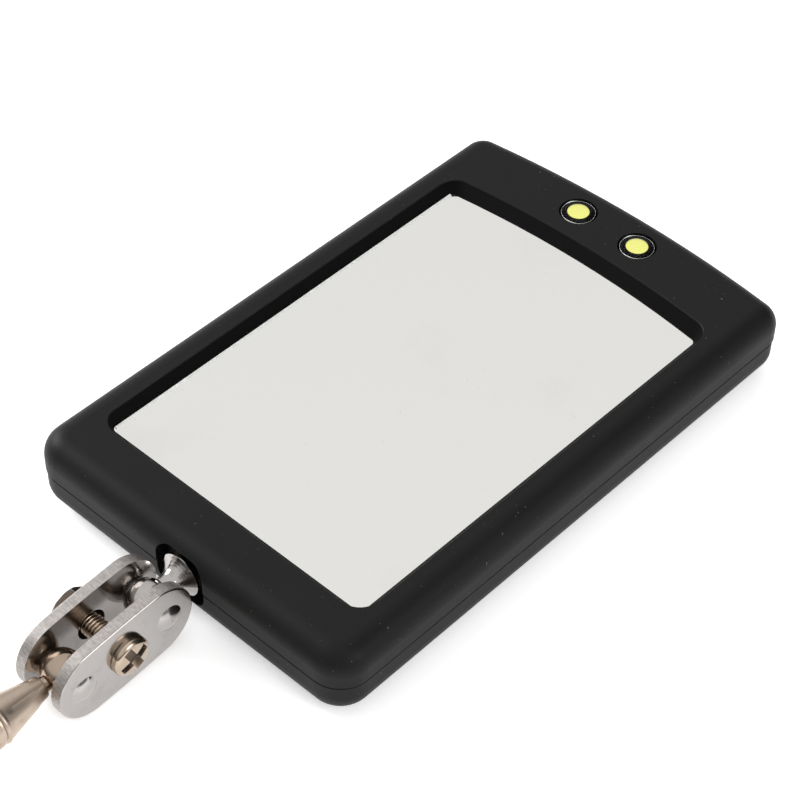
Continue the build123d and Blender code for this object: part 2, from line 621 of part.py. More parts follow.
def all_parts():
    parts = {
        "front_bezel": front_bezel(), "rear_cover": rear_cover(), "battery_door": battery_door(),
        "mirror_glass": mirror_glass(), "mirror_pad": mirror_pad(),
        "lamp_lens_left": lamp_lens(-1), "lamp_lens_right": lamp_lens(1),
        "lamp_chip_left": lamp_chip(-1), "lamp_chip_right": lamp_chip(1),
        "circuit_board": circuit_board(), "resistor": resistor(),
        "switch_case": switch_case(), "switch_slider": switch_slider(),
        "cell_lower": cell(0), "cell_upper": cell(1),
        "contact_top": contact_top(), "contact_side": contact_side(), "case_screws": case_screws(),
        "head_stud": head_stud(), "rod_stud": rod_stud(),
        "clamp_plate_right": clamp_plate(1, CLAMP_SCREW_R + 0.1),
        "clamp_plate_left": clamp_plate(-1, FAR_HOLE_R),
        "clamp_screw": clamp_screw(), "clamp_nut": clamp_nut(),
        "tip_ferrule": tip_ferrule(), "tip_rod": tip_rod(),
        "grip_sleeve": grip_sleeve(), "end_cap": end_cap(),
        "friction_sleeve_tip": friction_sleeve(TIP_ROD_R, TIP_ROD_BACK),
    }
    for index in range(len(TUBE_R)):
        parts[f"tube_{index + 1}"] = tube(index)
        if index:
            parts[f"friction_sleeve_{index + 1}"] = friction_sleeve(TUBE_R[index], TUBE_BACK[index])
    return parts


os.makedirs("parts", exist_ok=True)
for name, shape in all_parts().items():
    export_step(Pos(0, 0, HEAD_LIFT) * shape, f"parts/{name}.step")
print("rod ball y", round(ROD_BALL_Y, 4), "z", round(ROD_Z + HEAD_LIFT, 4))
print("head ball y", round(HEAD_BALL_Y, 4), "z", round(STUD_Z + HEAD_LIFT, 4), "wall y", round(WALL_Y, 4))
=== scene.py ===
import math

import bmesh
import bpy
from mathutils import Matrix, Vector


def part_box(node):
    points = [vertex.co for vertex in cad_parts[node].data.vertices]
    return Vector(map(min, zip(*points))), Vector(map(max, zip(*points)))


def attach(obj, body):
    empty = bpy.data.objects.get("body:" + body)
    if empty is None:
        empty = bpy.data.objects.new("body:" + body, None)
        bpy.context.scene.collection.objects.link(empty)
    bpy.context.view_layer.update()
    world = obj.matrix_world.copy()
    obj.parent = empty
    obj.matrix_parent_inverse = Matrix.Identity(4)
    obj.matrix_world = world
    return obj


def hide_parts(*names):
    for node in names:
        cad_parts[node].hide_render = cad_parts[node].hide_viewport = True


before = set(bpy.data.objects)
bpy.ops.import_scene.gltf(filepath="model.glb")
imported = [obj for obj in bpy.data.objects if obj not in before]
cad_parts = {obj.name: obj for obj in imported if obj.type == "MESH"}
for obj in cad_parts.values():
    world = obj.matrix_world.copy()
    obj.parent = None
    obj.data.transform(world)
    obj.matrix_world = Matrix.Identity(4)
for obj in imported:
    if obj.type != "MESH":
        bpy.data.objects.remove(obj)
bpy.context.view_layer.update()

MM = 0.001
FULL_TURN = 2 * math.pi

# --- places and sizes shared with the CAD, millimetres ---
ROD_BALL = (0.0, 22.9755, 5.1821)
LINK_CENTRE = (0.0, 29.65, 5.766)
LINK_TILT = math.radians(5.0)
PLATE_OUTER_X = 3.95
LAMP_X = 5.15
LAMP_Y = 121.7245
LENS_TOP_Z = 11.4

# --- sizes of the pieces made here, millimetres ---
SCREW_HEAD_R = 2.65
SCREW_HEAD_HEIGHT = 1.4
SCREW_HEAD_EDGE_R = 0.7
SCREW_CROWN = 0.22
SCREW_FOOT_CHAMFER = 0.12
SCREW_RUBBED_R = 0.07
SCREW_SEGMENTS = 64
CROSS_LENGTH = 4.7
CROSS_WIDTH = 1.25
CROSS_DEPTH = 1.0
CROSS_FLOOR_SHARE = 0.62
CROSS_MOUTH_SHARE = 1.05
CROSS_OVERRUN = 0.3
SCREW_HEAD_TURN = math.radians(20.0)
THREAD_CREST_R = 1.5
THREAD_ROOT_R = 1.13
THREAD_PITCH = 0.5
SHANK_LENGTH = 11.1
SHANK_IN_HEAD = 0.05
SHANK_TIP_CHAMFER = 0.25
THREAD_FLAT_GAIN = 1.3
CONE_FRONT = 3.1
CONE_BACK = 10.15
CONE_FRONT_R = 1.38
FERRULE_R = 2.93
FERRULE_BACK = 16.5
FERRULE_BORE_R = 1.12
FERRULE_SEGMENTS = 96
CONE_STEPS = 40
CONE_MOUTH = 0.12
CONE_MOUTH_ROLL = 0.25
CONE_END_GAP = 0.4
BEAD_AND_GROOVE = ((-0.28, -0.02), (-0.1, 0.06), (0.1, 0.06), (0.25, -0.04),
                   (0.36, -0.3), (0.62, -0.3), (0.76, -0.03), (0.9, 0.0))
SEAM_ANGLE = 0.95
SEAM_WIDTH = 0.055
SEAM_DEPTH = 0.16
SEAM_FADE = 0.8
CRIMPS = ((2.1, 0.17), (-0.5, 0.15), (-2.2, 0.16))
CRIMP_WIDTH = 0.2
CRIMP_PLACE = 1.15
CRIMP_LENGTH = 0.5
CHIP_R = 1.68
CORE_BELOW_DOME = 0.27
CUP_LIP = ((-0.1, 0.0), (0.0, -0.08), (0.0, -0.16), (-0.12, -0.2))
PHOSPHOR_CROWN = ((-0.12, -0.2), (-0.03, -0.26), (0.02, -0.6), (0.03, -1.38))
LAMP_SEGMENTS = 48
WINDOW_HALF = 21.45
WINDOW_OUTER_HALF = 24.6
FACE_Z = 11.1
GLASS_TOP_Z = 9.6
GLASS_THICKNESS = 1.8
GLASS_BEVEL = 0.35
GLASS_CORNER_R = 1.5
GLASS_HALF_WIDTH = 24.3
GLASS_NEAR_Y = 48.3245
GLASS_FAR_Y = 116.9245
LENS_R = 2.45
LENS_FLANGE_R = 2.85
LENS_DOME_HEIGHT = 0.55
LENS_DOME_STEPS = 9
LENS_FLANGE_HEIGHT = 0.7
LENS_SHOULDER = 0.05
RIM_WIRE_R = 0.016
RIM_INSET = 0.1
RIM_RISE = 0.12
RIM_GLINTS = ((2.75, 0.28, 5.0), (-1.45, 0.4, 3.4))
EDGE_LINE_NEAR_Y = 51.0
EDGE_LINE_FAR_Y = 113.4
EDGE_LINE_GAP = 0.16
EDGE_LINE_WIDTH = 0.3
EDGE_LINE_HEIGHT = 0.22
EDGE_LINE_STEPS = 60
GRIP_GROOVE_START = 65.0
GRIP_GROOVE_PITCH = 4.0
GRIP_GROOVES = 18
GRIP_BARS = 20
GRIP_BAR_R = 4.72
GRIP_BAR_SIZE = (0.55, 1.3, 0.62)
GRIP_BAR_SETBACK = 0.8
WALL_FEATHER = 0.05
WALL_PAST_GLASS = 1.0
WALL_BELOW_FACE = (0.12, 0.04)

# --- studio, in metres unless the name says otherwise ---
FLOOR_HALF_MM = 3000.0
FLOOR_DROP = 0.00005
STUDIO_MIDDLE = (0.0, 0.06, 0.0)
SKY_STOPS = ((0.0, 0.06), (0.16, 0.22), (0.5, 0.93), (1.0, 1.05))
DARK_SIDE = (0.42, 0.82, 0.38)
DARK_STOPS = ((0.0, 1.0), (0.74, 1.0), (0.88, 0.12), (1.0, 0.05))
CAMERA_PLACE_MM = (142.0, -77.85, 222.89)
CAMERA_RIGHT = (0.7318, 0.6813, 0.0181)
CAMERA_BACK = (0.4698, -0.5235, 0.7107)
CAMERA_ANGLE = 19.197
SENSOR_WIDTH = 36.0

# --- sockets of Blender's Mix node when it mixes colours ---
MIX_FIRST, MIX_SECOND, MIX_RESULT = 6, 7, 2


# ---------------------------------------------------------------- shader maths
class Wire:
    """A shader socket that can be written into sums. Values only; colours go through mix()."""

    def __init__(self, graph, socket):
        self.graph = graph
        self.socket = socket

    def maths(self, operation, first, second=0.0):
        return self.graph.node("ShaderNodeMath", {"operation": operation}, {0: first, 1: second})

    def __add__(self, other):
        return self.maths("ADD", self, other)

    __radd__ = __add__

    def __mul__(self, other):
        return self.maths("MULTIPLY", self, other)

    __rmul__ = __mul__

    def __sub__(self, other):
        return self.maths("SUBTRACT", self, other)

    def __rsub__(self, other):
        return self.maths("SUBTRACT", other, self)

    def __abs__(self):
        return self.maths("ABSOLUTE", self)

    def out(self, key):
        """Another output of the same node, by name or by number."""
        return Wire(self.graph, self.socket.node.outputs[key])


class Graph:
    """A node tree that is filled through one method."""

    def __init__(self, tree):
        self.tree = tree
        self.tree.nodes.clear()

    def node(self, kind, settings, inputs):
        made = self.tree.nodes.new(kind)
        for key, value in settings.items():
            if key == "stops":
                self.set_stops(made.color_ramp, value)
            else:
                setattr(made, key, value)
        for key, value in inputs.items():
            socket = made.inputs[key]
            if isinstance(value, Wire):
                self.tree.links.new(value.socket, socket)
            else:
                socket.default_value = value
        return Wire(self, made.outputs[0]) if made.outputs else None

    @staticmethod
    def set_stops(ramp, stops):
        """Stops in order, the first at 0 and the last at 1."""
        ramp.elements[0].color = (*[stops[0][1]] * 3, 1.0)
        ramp.elements[-1].color = (*[stops[-1][1]] * 3, 1.0)
        for place, shade in stops[1:-1]:
            ramp.elements.new(place).color = (shade, shade, shade, 1.0)


class Finish(Graph):
    """A material and the nodes that make it."""

    def __init__(self, name):
        self.material = bpy.data.materials.new(name)
        self.material.use_nodes = True
        super().__init__(self.material.node_tree)
        place = self.node("ShaderNodeTexCoord", {}, {})
        self.place = place.out("Object")
        self.facing = place.out("Normal")

    def noise(self, scale, detail=3.0, roughness=0.5, stretch=None):
        where = self.place
        if stretch:
            where = self.node("ShaderNodeMapping", {}, {"Vector": where, "Scale": stretch})
        values = {"Vector": where, "Scale": scale, "Detail": detail, "Roughness": roughness}
        return self.node("ShaderNodeTexNoise", {}, values)

    def band(self, value, low, high):
        """0 below low, 1 above high."""
        return self.node("ShaderNodeMapRange", {"interpolation_type": "SMOOTHSTEP"},
                         {"Value": value, "From Min": low, "From Max": high})

    def mix(self, factor, first, second):
        first = (*first, 1.0) if isinstance(first, tuple) else first
        second = (*second, 1.0) if isinstance(second, tuple) else second
        mixed = self.node("ShaderNodeMix", {"data_type": "RGBA"},
                          {"Factor": factor, MIX_FIRST: first, MIX_SECOND: second})
        return mixed.out(MIX_RESULT)

    def edges(self, radius):
        """1 on sharp edges, 0 on open faces."""
        soft = self.node("ShaderNodeBevel", {"samples": 4}, {"Radius": radius})
        true = self.node("ShaderNodeNewGeometry", {}, {}).out("Normal")
        dot = self.node("ShaderNodeVectorMath", {"operation": "DOT_PRODUCT"}, {0: soft, 1: true})
        return self.band(1.0 - dot.out("Value"), 0.02, 0.2)

    def bump(self, height, distance, strength):
        values = {"Height": height, "Distance": distance, "Strength": strength}
        return self.node("ShaderNodeBump", {}, values)

    def surface(self, **inputs):
        names = {key.replace("_", " "): value for key, value in inputs.items()}
        if isinstance(names.get("Base Color"), tuple):
            names["Base Color"] = (*names["Base Color"], 1.0)
        shader = self.node("ShaderNodeBsdfPrincipled", {}, names)
        return self.close(shader)

    def close(self, shader):
        self.node("ShaderNodeOutputMaterial", {}, {"Surface": shader})
        return self.material


# ---------------------------------------------------------------- finishes
def window_wall(f):
    """1 on the sloping wall between the housing's face and the glass, where soft_touch_black paints shade."""
    place = f.node("ShaderNodeSeparateXYZ", {}, {0: f.place})
    across, along, rise = abs(place), place.out("Y"), place.out("Z")
    far_y = GLASS_FAR_Y + WALL_PAST_GLASS
    low_rise, high_rise = (FACE_Z - below for below in WALL_BELOW_FACE)
    inside = 1.0 - f.band(across, (WINDOW_OUTER_HALF - WALL_FEATHER) * MM, WINDOW_OUTER_HALF * MM)
    inside = inside * f.band(along, (GLASS_NEAR_Y - WALL_FEATHER) * MM, GLASS_NEAR_Y * MM)
    inside = inside * (1.0 - f.band(along, far_y * MM, (far_y + WALL_FEATHER) * MM))
    return inside * (1.0 - f.band(rise, low_rise * MM, high_rise * MM))


def soft_touch_black(name, grain=5200.0, shade=0.0075, specular=0.13):
    """Moulded soft-touch plastic: fine grain, a little dust, edges rubbed paler and shinier, and painted
    shade darkening the window's sloping wall.
    """
    f = Finish(name)
    cloud = f.noise(90.0, 4.0)
    fine = f.noise(grain, 2.0, 0.6)
    dust = f.band(f.noise(2600.0, 1.0), 0.735, 0.78) * f.band(f.noise(240.0, 2.0), 0.45, 0.62)
    rubbed = f.edges(0.00035) * f.band(f.noise(420.0, 4.0, 0.7), 0.42, 0.62)
    dark = (shade * 0.85, shade * 0.83, shade * 0.82)
    pale = (shade * 1.35, shade * 1.3, shade * 1.28)
    colour = f.mix(cloud, dark, pale)
    colour = f.mix(rubbed * 0.4, colour, (0.034, 0.032, 0.031))
    colour = f.mix(dust * 0.55, colour, (0.17, 0.165, 0.155))
    # Painted shade: the window's sloping wall is mixed almost to black, standing in for the shade that falls
    # on it.
    wall = window_wall(f)
    colour = f.mix(wall * 0.9, colour, (0.001, 0.001, 0.001))
    roughness = 0.43 + 0.12 * cloud - 0.12 * rubbed + 0.4 * wall
    return f.surface(Base_Color=colour, Roughness=roughness, Specular_IOR_Level=specular,
                     Normal=f.bump(fine, 0.00002, 0.5))


def plated(name, tint, dull, base_roughness, matte_edge=None, scratch=0.5):
    """Plated or bare metal with fine scratches, haze and tarnish in its own tint."""
    f = Finish(name)
    haze = f.noise(170.0, 5.0, 0.6)
    blotch = f.band(f.noise(420.0, 4.0, 0.65), 0.5, 0.72)
    along = f.noise(900.0, 3.0, 0.6, (6.0, 0.35, 6.0))
    worn = f.edges(0.0002)
    colour = f.mix(blotch * 0.45, tint, dull)
    colour = f.mix(worn * 0.35, colour, (0.86, 0.84, 0.81))
    roughness = base_roughness + 0.14 * haze * haze + 0.08 * blotch
    height = along * scratch + 0.25 * f.noise(2600.0, 2.0)
    if matte_edge:
        across = f.node("ShaderNodeSeparateXYZ", {}, {0: f.facing})
        sheared = 1.0 - f.band(abs(across), 0.35, 0.8)
        speckle = f.band(f.noise(4200.0, 3.0, 0.7, (0.35, 1.0, 1.0)), 0.3, 0.72)
        dark, pale = (tuple(share * c for c in matte_edge) for share in (0.82, 1.28))
        torn = f.mix(speckle, dark, pale)
        colour = f.mix(sheared, colour, torn)
        roughness = roughness + 0.3 * sheared
        height = height + 1.3 * sheared * speckle
    return f.surface(Base_Color=colour, Metallic=1.0, Roughness=roughness,
                     Normal=f.bump(height, 0.000006, 0.5))


def silvered_glass():
    """Looking glass: clean reflection with faint smudges and a few dust marks."""
    f = Finish("silvered_glass")
    smudge = f.band(f.noise(55.0, 4.0, 0.6), 0.56, 0.78)
    speck = f.band(f.noise(1500.0, 1.0), 0.755, 0.79)
    colour = f.mix(smudge * 0.35 + speck * 0.5, (0.775, 0.768, 0.742), (0.70, 0.69, 0.665))
    return f.surface(Base_Color=colour, Metallic=1.0, Roughness=0.015 + 0.06 * smudge + 0.3 * speck)


def ground_glass():
    """Ground and seamed glass edge: pale, a little green, finely chipped."""
    f = Finish("ground_glass_edge")
    chips = f.band(f.noise(1900.0, 3.0, 0.7), 0.5, 0.7)
    colour = f.mix(chips, (0.74, 0.76, 0.72), (0.93, 0.93, 0.91))
    return f.surface(Base_Color=colour, Roughness=0.16 + 0.3 * chips, Normal=f.bump(chips, 0.00002, 0.4))


def clear_plastic():
    """Clear lamp lens: see-through, with a skin of gloss that strengthens at its rim."""
    f = Finish("clear_plastic")
    rim = f.node("ShaderNodeFresnel", {}, {"IOR": 1.5})
    swirl = f.noise(700.0, 3.0)
    gloss = f.node("ShaderNodeBsdfPrincipled", {}, {
        "Base Color": (0.03, 0.03, 0.03, 1.0), "Roughness": 0.04 + 0.05 * swirl,
        "Normal": f.bump(swirl, 0.00001, 0.3)})
    through = f.node("ShaderNodeBsdfTransparent", {}, {"Color": (0.93, 0.93, 0.91, 1.0)})
    share = f.band(rim, -0.08, 0.5)
    return f.close(f.node("ShaderNodeMixShader", {}, {0: share, 1: through, 2: gloss}))


def phosphor():
    """Yellow phosphor with a grainy, slightly uneven coat, and a faint painted glow that brightens it."""
    f = Finish("lamp_phosphor_painted_glow")
    grain = f.noise(3200.0, 3.0, 0.7)
    colour = f.mix(grain, (0.84, 0.85, 0.17), (0.97, 0.96, 0.36))
    # Painted light: the emission makes the phosphor glow in its own colour, brightening it the way light
    # falling on it would.
    return f.surface(Base_Color=colour, Roughness=0.5 + 0.2 * grain, Emission_Color=colour,
                     Emission_Strength=0.85, Normal=f.bump(grain, 0.00003, 0.5))


def moulded(name, dark, pale, scale, roughness, bump_height=0.00002):
    """Plain non-metal finish with cloudy colour and a fine grain."""
    f = Finish(name)
    cloud = f.noise(scale, 4.0, 0.6)
    fine = f.noise(scale * 9, 2.0, 0.6)
    worn = f.edges(0.0003)
    rubbed = tuple(min(1.0, c * 2.2) for c in pale)
    colour = f.mix(worn * 0.3, f.mix(cloud, dark, pale), rubbed)
    return f.surface(Base_Color=colour, Roughness=roughness + 0.12 * fine,
                     Normal=f.bump(fine, bump_height, 0.6))


def circuit_green():
    """Solder-masked board with copper tracks showing faintly through."""
    f = Finish("board_green")
    tracks = f.node("ShaderNodeTexBrick", {}, {
        "Vector": f.place, "Scale": 260.0, "Color1": (1, 1, 1, 1), "Color2": (1, 1, 1, 1),
        "Mortar": (0, 0, 0, 1), "Mortar Size": 0.06})
    colour = f.mix(tracks, (0.02, 0.16, 0.05), (0.008, 0.075, 0.025))
    return f.surface(Base_Color=colour, Roughness=0.3 + 0.15 * f.noise(900.0))


HOUSING = soft_touch_black("soft_touch_black")
SWITCH_BLACK = soft_touch_black("switch_soft_black", 6500.0, 0.018, 0.4)
SCREW_BLACK = plated("screw_black_plating", (0.06, 0.06, 0.062), (0.11, 0.09, 0.07), 0.34)
CHROME = plated("plate_chrome_plating", (0.44, 0.418, 0.405), (0.34, 0.32, 0.31), 0.12,
                (0.36, 0.335, 0.32), 0.5)
# Painted shade: the stud's tarnish tone is darker than the plates', for the shade of the notch it sits in;
# its tarnish patches are random.
STUD_CHROME_PAINTED_SHADE = plated("stud_chrome_painted_shade", (0.44, 0.42, 0.405), (0.20, 0.185, 0.175), 0.09, None, 0.9)
ROD_NICKEL = plated("rod_nickel_plating", (0.52, 0.425, 0.345), (0.34, 0.265, 0.20), 0.34, None, 0.8)
FASTENER = plated("fastener_nickel_plating", (0.50, 0.405, 0.315), (0.20, 0.155, 0.115), 0.14)
# Painted shade: the screw's cross recess gets a far darker copy of the fastener nickel, for the shade inside
# it.
RECESS_PAINTED_SHADE = plated("screw_recess_painted_shade", (0.11, 0.08, 0.058), (0.06, 0.045, 0.033), 0.24)
# Painted shade: the nut's nickel is near black, for how little light its facets catch.
NUT_PAINTED_SHADE = plated("nut_nickel_painted_shade", (0.085, 0.068, 0.055), (0.045, 0.036, 0.028), 0.36)
BALL_NICKEL = plated("ball_nickel_plating", (0.40, 0.315, 0.245), (0.16, 0.12, 0.09), 0.07, None, 0.6)
BRASS = plated("sleeve_brass_plating", (0.68, 0.47, 0.20), (0.42, 0.27, 0.11), 0.24)
CELL_STEEL = plated("cell_steel_plating", (0.63, 0.63, 0.62), (0.48, 0.47, 0.45), 0.18)
CONTACT = plated("contact_nickel_plating", (0.66, 0.62, 0.53), (0.44, 0.40, 0.33), 0.22)
SWITCH_METAL = plated("switch_metal_plating", (0.60, 0.60, 0.59), (0.42, 0.42, 0.41), 0.26)
CUP_SILVER = plated("lamp_cup_silver", (0.72, 0.72, 0.70), (0.55, 0.55, 0.53), 0.14)
GLASS = silvered_glass()
GROUND_GLASS = ground_glass()
LENS = clear_plastic()
PHOSPHOR_PAINTED_GLOW = phosphor()
FOAM = moulded("black_foam", (0.035, 0.035, 0.036), (0.075, 0.075, 0.077), 1400.0, 0.82, 0.00012)
RESISTOR = moulded("resistor_black", (0.012, 0.012, 0.013), (0.03, 0.03, 0.03), 900.0, 0.4)
RUBBER = moulded("grip_black_rubber", (0.012, 0.012, 0.0125), (0.024, 0.023, 0.023), 700.0, 0.62, 0.00006)
BOARD = circuit_green()

FINISH_OF = {
    "housing_black": HOUSING, "mirror": GLASS, "foam": FOAM, "clear_lens": LENS, "phosphor": PHOSPHOR_PAINTED_GLOW,
    "circuit_green": BOARD, "resistor_body": RESISTOR, "switch_metal": SWITCH_METAL,
    "switch_black": SWITCH_BLACK, "cell_steel": CELL_STEEL, "contact_nickel": CONTACT,
    "screw_black": SCREW_BLACK, "stud_chrome": STUD_CHROME_PAINTED_SHADE, "plate_chrome": CHROME,
    "fastener_nickel": FASTENER, "rod_nickel": ROD_NICKEL, "sleeve_brass": BRASS, "grip_rubber": RUBBER,
}
OWN_FINISH = {"clamp_nut": NUT_PAINTED_SHADE, "rod_stud": BALL_NICKEL}


def dress_frame():
    """Give each CAD node its own finish, or the one of its material slot."""
    for node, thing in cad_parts.items():
        slot = thing.data.materials[0].name.split(".")[0]
        thing.data.materials.clear()
        thing.data.materials.append(OWN_FINISH.get(node, FINISH_OF[slot]))


# ---------------------------------------------------------------- mesh making
def piece_from(name, mesh_builder, finishes, smooth_angle=35.0):
    """Object whose place is in its mesh, from a bmesh in millimetres."""
    mesh = bpy.data.meshes.new(name)
    bmesh.ops.remove_doubles(mesh_builder, verts=mesh_builder.verts, dist=1e-5)
    bmesh.ops.recalc_face_normals(mesh_builder, faces=mesh_builder.faces)
    bmesh.ops.scale(mesh_builder, vec=(MM, MM, MM), verts=mesh_builder.verts)
    mesh_builder.to_mesh(mesh)
    mesh_builder.free()
    for finish in finishes:
        mesh.materials.append(finish)
    mesh.polygons.foreach_set("use_smooth", [True] * len(mesh.polygons))
    mesh.set_sharp_from_angle(angle=math.radians(smooth_angle))
    made = bpy.data.objects.new(name, mesh)
    bpy.context.scene.collection.objects.link(made)
    return made


def skin_rings(b, rings, closed_ends=True):
    """Skin equal rings of points with quads, and close both ends."""
    rows = [[b.verts.new(p) for p in ring] for ring in rings]
    count = len(rows[0])
    for near, far in zip(rows, rows[1:]):
        for k in range(count):
            nxt = (k + 1) % count
            b.faces.new((near[k], near[nxt], far[nxt], far[k]))
    if closed_ends:
        b.faces.new(rows[0])
        b.faces.new(list(reversed(rows[-1])))


def ring_y(y, radius_at, segments, centre=(0.0, 0.0)):
    points = []
    for k in range(segments):
        angle = FULL_TURN * k / segments
        radius = radius_at(angle)
        points.append((centre[0] + radius * math.cos(angle), y, centre[1] + radius * math.sin(angle)))
    return points


def link_place():
    """From the link's own axes to the row frame, millimetres."""
    return Matrix.Translation(LINK_CENTRE) @ Matrix.Rotation(LINK_TILT, 4, "X")


def cross_cutter():
    """Two tapered bars that cut the screw's recess; their painted-shade finish passes to the cut faces."""
    b = bmesh.new()
    for turn in (0.0, math.pi / 2):
        spin = Matrix.Rotation(turn + SCREW_HEAD_TURN, 4, "X")
        top_x = SCREW_HEAD_HEIGHT + CROSS_OVERRUN
        bottom_x = SCREW_HEAD_HEIGHT - CROSS_DEPTH
        corners = []
        for x, share in ((bottom_x, CROSS_FLOOR_SHARE), (top_x, CROSS_MOUTH_SHARE)):
            half_l, half_w = CROSS_LENGTH / 2 * share, CROSS_WIDTH / 2 * (0.5 + 0.5 * share)
            for u, v in ((-1, -1), (1, -1), (1, 1), (-1, 1)):
                corners.append(spin @ Vector((x, u * half_l, v * half_w)))
        verts = [b.verts.new(c) for c in corners]
        for quad in ((0, 3, 2, 1), (4, 5, 6, 7), (0, 1, 5, 4), (1, 2, 6, 5), (2, 3, 7, 6), (3, 0, 4, 7)):
            b.faces.new([verts[k] for k in quad])
    return piece_from("cross_cutter", b, [RECESS_PAINTED_SHADE])


def settled_copy(thing, name, smooth_angle=35.0):
    """Plain mesh of an object with its modifiers applied."""
    evaluated = thing.evaluated_get(bpy.context.evaluated_depsgraph_get())
    mesh = bpy.data.meshes.new_from_object(evaluated)
    mesh.name = name
    mesh.polygons.foreach_set("use_smooth", [True] * len(mesh.polygons))
    mesh.set_sharp_from_angle(angle=math.radians(smooth_angle))
    made = bpy.data.objects.new(name, mesh)
    bpy.context.scene.collection.objects.link(made)
    return made


def clamp_screw_head():
    """Pan head with a wide, tapered cross recess and rubbed corners."""
    b = bmesh.new()
    profile = [(0.0, SCREW_HEAD_R - SCREW_FOOT_CHAMFER), (SCREW_FOOT_CHAMFER, SCREW_HEAD_R)]
    for k in range(7):
        angle = k / 6 * math.pi / 2
        x = SCREW_HEAD_HEIGHT - SCREW_CROWN - SCREW_HEAD_EDGE_R * (1 - math.sin(angle))
        profile.append((x, SCREW_HEAD_R - SCREW_HEAD_EDGE_R * (1 - math.cos(angle))))
    flat_r = SCREW_HEAD_R - SCREW_HEAD_EDGE_R
    for share in (0.75, 0.5, 0.25):
        profile.append((SCREW_HEAD_HEIGHT + SCREW_CROWN * (1 - share ** 2) - SCREW_CROWN, flat_r * share))
    angles = [FULL_TURN * k / SCREW_SEGMENTS for k in range(SCREW_SEGMENTS)]
    rings = [[(x, r * math.cos(angle), r * math.sin(angle)) for angle in angles] for x, r in profile]
    skin_rings(b, rings)
    head = piece_from("screw_blank", b, [FASTENER])
    cutter = cross_cutter()
    cut = head.modifiers.new("recess", "BOOLEAN")
    cut.operation, cut.object, cut.solver, cut.use_self = "DIFFERENCE", cutter, "EXACT", True
    # The recess faces take the cutter's finish: painted shade.
    cut.material_mode = "TRANSFER"
    ease = head.modifiers.new("rub", "BEVEL")
    ease.width, ease.segments, ease.limit_method = SCREW_RUBBED_R * MM, 2, "ANGLE"
    made = settled_copy(head, "clamp_screw_head")
    for spare in (head, cutter):
        bpy.data.objects.remove(spare)
    made.data.transform(scaled(link_place() @ Matrix.Translation((PLATE_OUTER_X, 0, 0))))
    return made


def scaled(matrix):
    """A millimetre placement turned into metres."""
    out = matrix.copy()
    out.translation *= MM
    return out


def clamp_screw_shank():
    """Threaded shank with a chamfered tip, running from the head through to past the nut."""
    b = bmesh.new()
    segments, steps_per_turn = 32, 10
    count = int(SHANK_LENGTH / THREAD_PITCH * steps_per_turn)
    rings = []
    for step in range(count + 1):
        x = SHANK_IN_HEAD - step * THREAD_PITCH / steps_per_turn
        left = SHANK_LENGTH + x
        ring = []
        for k in range(segments):
            angle = FULL_TURN * k / segments
            phase = (x / THREAD_PITCH + k / segments) % 1.0
            crest = 1 - abs(2 * phase - 1)
            depth = THREAD_CREST_R - THREAD_ROOT_R
            radius = THREAD_ROOT_R + depth * min(1.0, THREAD_FLAT_GAIN * crest)
            radius = min(radius, THREAD_ROOT_R - SHANK_TIP_CHAMFER + max(left, 0.0))
            ring.append((x, radius * math.cos(angle), radius * math.sin(angle)))
        rings.append(ring)
    skin_rings(b, rings)
    made = piece_from("clamp_screw_thread", b, [FASTENER], 80.0)
    made.data.transform(scaled(link_place() @ Matrix.Translation((PLATE_OUTER_X, 0, 0))))
    return made


def tip_ferrule():
    """Swaged cone with a rolled seam, three crimp marks at its neck, and a bead and groove at its base."""
    b = bmesh.new()
    slope = (FERRULE_R - CONE_FRONT_R) / (CONE_BACK - CONE_FRONT)
    mouth = CONE_FRONT + CONE_MOUTH
    stations = [(CONE_FRONT, CONE_FRONT_R - CONE_MOUTH_ROLL), (mouth, CONE_FRONT_R)]
    for k in range(1, CONE_STEPS + 1):
        along = mouth + (CONE_BACK - CONE_END_GAP - mouth) * k / CONE_STEPS
        stations.append((along, CONE_FRONT_R + slope * (along - CONE_FRONT)))
    stations += [(CONE_BACK + shift, FERRULE_R + swell) for shift, swell in BEAD_AND_GROOVE]
    stations += [(FERRULE_BACK - 0.3, FERRULE_R), (FERRULE_BACK - 0.08, FERRULE_R - 0.1),
                 (FERRULE_BACK, FERRULE_R - 0.3), (FERRULE_BACK, FERRULE_BORE_R)]
    rings = []
    for along, radius in stations:
        rings.append(ring_y(ROD_BALL[1] - along, lambda a: radius - ferrule_dent(a, along),
                            FERRULE_SEGMENTS, (ROD_BALL[0], ROD_BALL[2])))
    skin_rings(b, rings)
    return piece_from("tip_ferrule_swaged", b, [ROD_NICKEL], 50.0)


def ferrule_dent(angle, along):
    """Depth of the seam and crimp marks at one place on the cone."""
    off_seam = math.remainder(angle - SEAM_ANGLE, FULL_TURN)
    fade_in = (along - CONE_FRONT - 0.3) / SEAM_FADE
    fade_out = (CONE_BACK - 0.9 - along) / SEAM_FADE
    dent = SEAM_DEPTH * max(0.0, min(1.0, fade_in, fade_out)) * math.exp(-(off_seam / SEAM_WIDTH) ** 2)
    off_place = (along - CONE_FRONT - CRIMP_PLACE) / CRIMP_LENGTH
    for mark, depth in CRIMPS:
        off_mark = math.remainder(angle - mark, FULL_TURN) / CRIMP_WIDTH
        dent += depth * math.exp(-off_mark ** 2 - off_place ** 2)
    return dent


def lamp_rings(side, profile):
    """Rings about one lamp's upright axis, from pairs of height and radius."""
    angles = [FULL_TURN * k / LAMP_SEGMENTS for k in range(LAMP_SEGMENTS)]
    return [[(side * LAMP_X + r * math.cos(a), LAMP_Y + r * math.sin(a), z) for a in angles]
            for z, r in profile]


